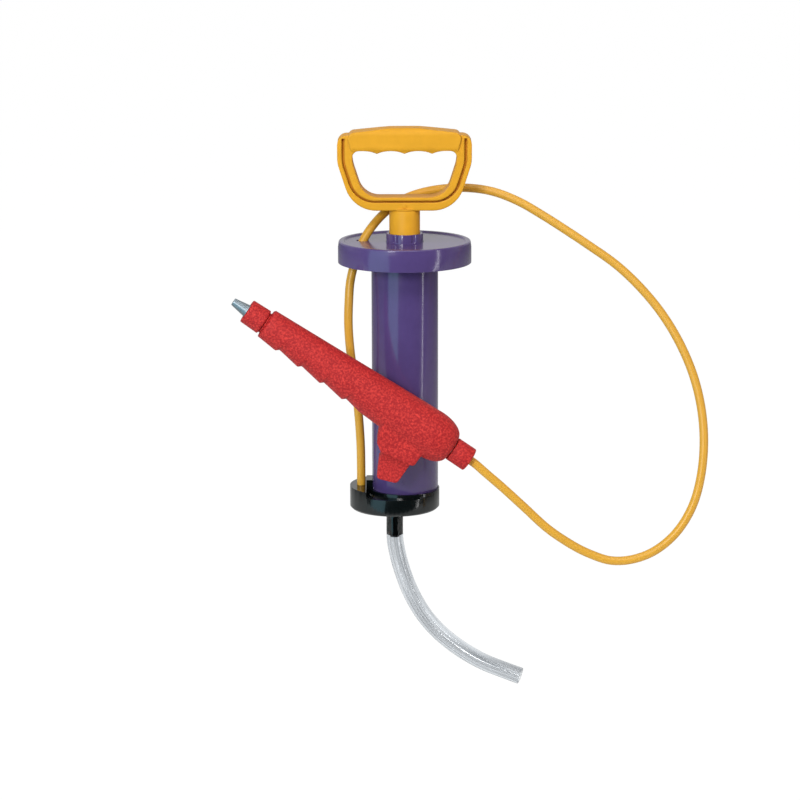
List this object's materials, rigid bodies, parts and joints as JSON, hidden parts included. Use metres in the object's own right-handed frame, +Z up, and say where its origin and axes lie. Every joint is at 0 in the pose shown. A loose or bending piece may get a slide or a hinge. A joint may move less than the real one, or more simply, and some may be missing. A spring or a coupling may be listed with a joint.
{
  "type": "hand-pumped water squirter",
  "caption": "Toy piston pump with a D handle and clear suction tube, feeding a hand lance with a push-in trigger through a soft hose.",
  "frame": {"origin": "on the pump's axis, half way up the open barrel, where a hand holds it", "axes": "+Z up along the pump's axis towards the handle, +X to the right of the picture, -Y towards its viewer"},
  "size_m": [0.3553, 0.1123, 0.4318],
  "materials": {
    "violet_plastic": "moulded, glossy",
    "amber_plastic": "moulded, semi-gloss",
    "amber_hose": "extruded soft PVC, semi-gloss",
    "black_plastic": "moulded, semi-gloss",
    "red_plastic": "moulded, fine texture",
    "tip_metal": "turned, satin",
    "steel": "drawn and plated",
    "white_acetal": "moulded",
    "seal_rubber": "moulded",
    "clear_pvc": "extruded, clear"
  },
  "bodies": {
    "pump": {"barrel": "violet_plastic", "barrel_seal": "seal_rubber", "top_cap": "violet_plastic", "rod_guide": "violet_plastic", "base": "black_plastic", "inlet_spigot": "black_plastic", "valve_plate": "white_acetal", "outlet_retainer": "white_acetal", "suction_tube": "clear_pvc", "hose_upper": "amber_hose", "hose_lower": "amber_hose"},
    "plunger": {"handle": "amber_plastic", "plunger_rod": "amber_plastic", "piston_head": "white_acetal", "piston_cup": "seal_rubber", "piston_follower": "white_acetal", "piston_screw": "steel"},
    "intake_valve": {"intake_ball": "white_acetal"},
    "outlet_valve": {"outlet_ball": "white_acetal"},
    "gun": {"gun_shell_near": "red_plastic", "gun_shell_far": "red_plastic", "gun_screws": "steel", "water_tube": "red_plastic", "nozzle_tip": "tip_metal", "nozzle_washer": "seal_rubber", "nozzle_nut": "red_plastic", "valve_body": "white_acetal", "inlet_tail": "white_acetal", "hose_nut": "red_plastic", "trigger_spring": "steel"},
    "trigger": {"trigger": "red_plastic", "valve_spool": "white_acetal", "spool_seals": "seal_rubber"}
  },
  "joints": [
    {"name": "pump_stroke", "type": "slide", "parent": "pump", "child": "plunger", "axis": [0, 0, 1], "range_m": [0, 0.14]},
    {"name": "intake_lift", "type": "slide", "parent": "pump", "child": "intake_valve", "axis": [0, 0, 1], "range_m": [0, 0.0025]},
    {"name": "outlet_lift", "type": "slide", "parent": "pump", "child": "outlet_valve", "axis": [0, 0, 1], "range_m": [0, 0.0012]},
    {"name": "gun_lift", "type": "slide", "parent": "pump", "child": "gun", "axis": [0, -1, 0], "range_m": [0, 0.08], "deforming": ["hose_lower"]},
    {"name": "trigger_push", "type": "slide", "parent": "gun", "child": "trigger", "axis": [0.5678, 0, 0.8231], "range_m": [0, 0.0045], "stiffness_N_per_m": 800, "springref_m": -0.003, "deforming": ["trigger_spring"]}
  ]
}
